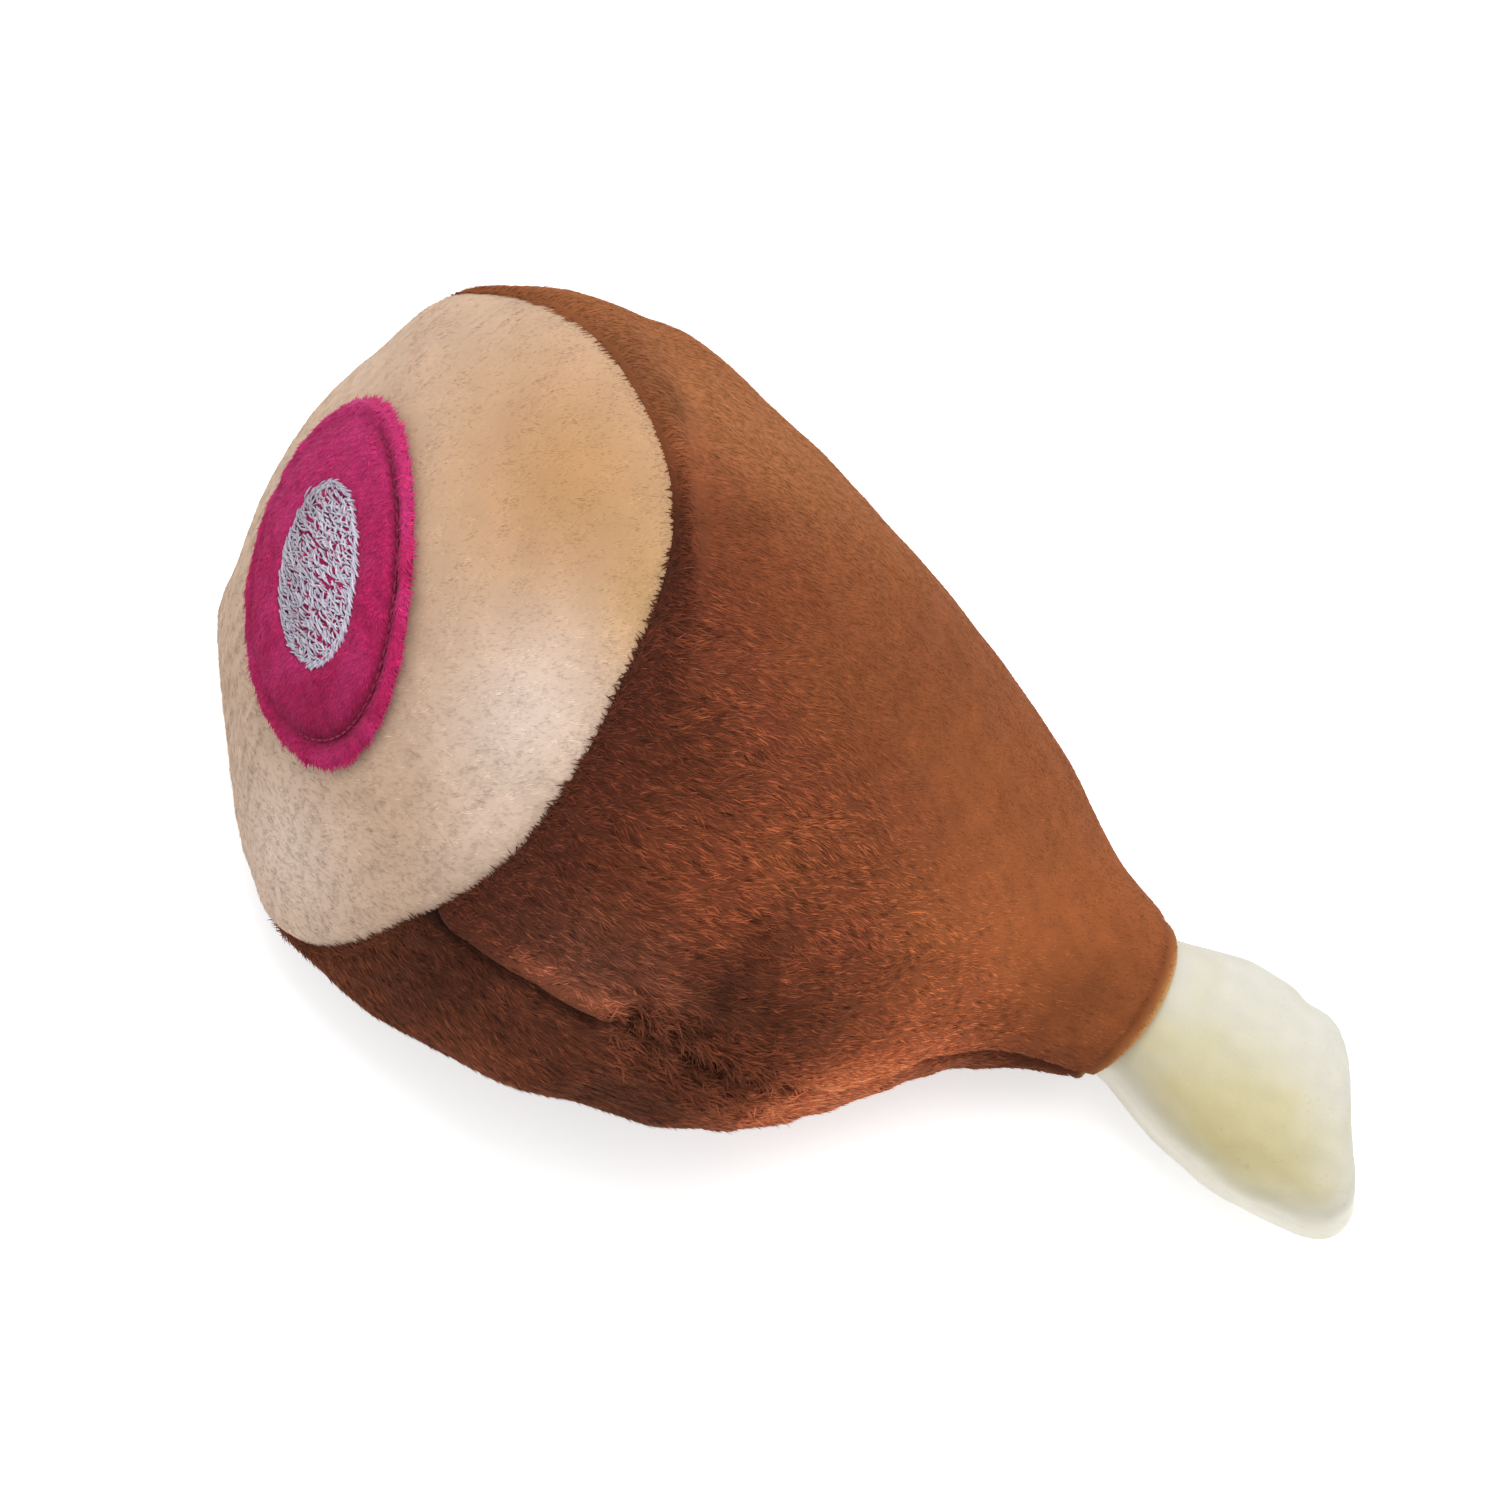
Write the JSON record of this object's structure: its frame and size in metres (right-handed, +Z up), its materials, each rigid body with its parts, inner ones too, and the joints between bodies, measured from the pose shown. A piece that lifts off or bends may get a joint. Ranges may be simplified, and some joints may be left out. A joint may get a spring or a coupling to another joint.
{
  "type": "plush ham leg toy",
  "caption": "Stuffed plush toy for a dog in the shape of a ham leg, with a domed end disc, an embroidered oval patch, a floppy bone stub and a squeaker inside.",
  "frame": {"origin": "under the middle of the toy's box, on the surface that it lies on", "axes": "+X along the leg, from the domed end disc to the bone; +Z up from the surface; +Y to the side that faces away from the picture's viewer"},
  "size_m": [0.184, 0.1054, 0.0804],
  "materials": {
    "plush_brown": "short pile plush",
    "plush_peach": "short pile plush",
    "plush_magenta": "short pile plush",
    "plush_cream": "short pile plush",
    "embroidery_silver": "glossy embroidery thread",
    "stitch_magenta": "sewing thread",
    "thread_brown": "sewing thread",
    "thread_cream": "sewing thread",
    "backing_white": "non-woven tear-away backing",
    "fibre_white": "loose polyester fibre",
    "squeaker_soft": "thin soft polyethylene",
    "squeaker_hard": "moulded"
  },
  "bodies": {
    "leg": {"end_disc": "plush_peach", "embroidery_backing": "backing_white", "pink_patch": "plush_magenta", "patch_stitch_line": "stitch_magenta", "marrow_embroidery": "embroidery_silver", "body_panel_upper": "plush_brown", "body_panel_lower": "plush_brown", "disc_seam_thread": "thread_brown", "panel_seam_thread_face_end": "thread_brown", "panel_seam_thread_neck_end": "thread_brown", "closing_stitch": "thread_brown", "panel_seam_thread_far": "thread_brown", "neck_seam_thread": "thread_cream", "filling_face_end": "fibre_white", "filling_neck_end": "fibre_white", "squeaker_bulb": "squeaker_soft"},
    "squeaker_top": {"squeaker_whistle": "squeaker_hard", "squeaker_reed": "squeaker_hard", "squeaker_cap": "squeaker_hard"},
    "neck": {"neck_filling": "fibre_white"},
    "bone": {"bone_panel_upper": "plush_cream", "bone_panel_lower": "plush_cream", "bone_filling": "fibre_white", "bone_seam_thread": "thread_cream"}
  },
  "joints": [
    {"name": "squeaker_press", "type": "slide", "parent": "leg", "child": "squeaker_top", "axis": [0, 0, -1], "range_m": [0, 0.008], "stiffness_N_per_m": 300, "deforming": ["squeaker_bulb"]},
    {"name": "neck_bend", "type": "hinge", "parent": "leg", "child": "neck", "pos_m": [0.05593, -0.00115, 0.01479], "axis": [0.1045, 0.9945, 0], "range_deg": [-20, 20], "stiffness_Nm_per_rad": 0.05},
    {"name": "neck_sway", "type": "hinge", "parent": "neck", "child": "bone", "pos_m": [0.05593, -0.00115, 0.01479], "axis": [0.1556, -0.0164, 0.9877], "range_deg": [-20, 20], "stiffness_Nm_per_rad": 0.05}
  ]
}
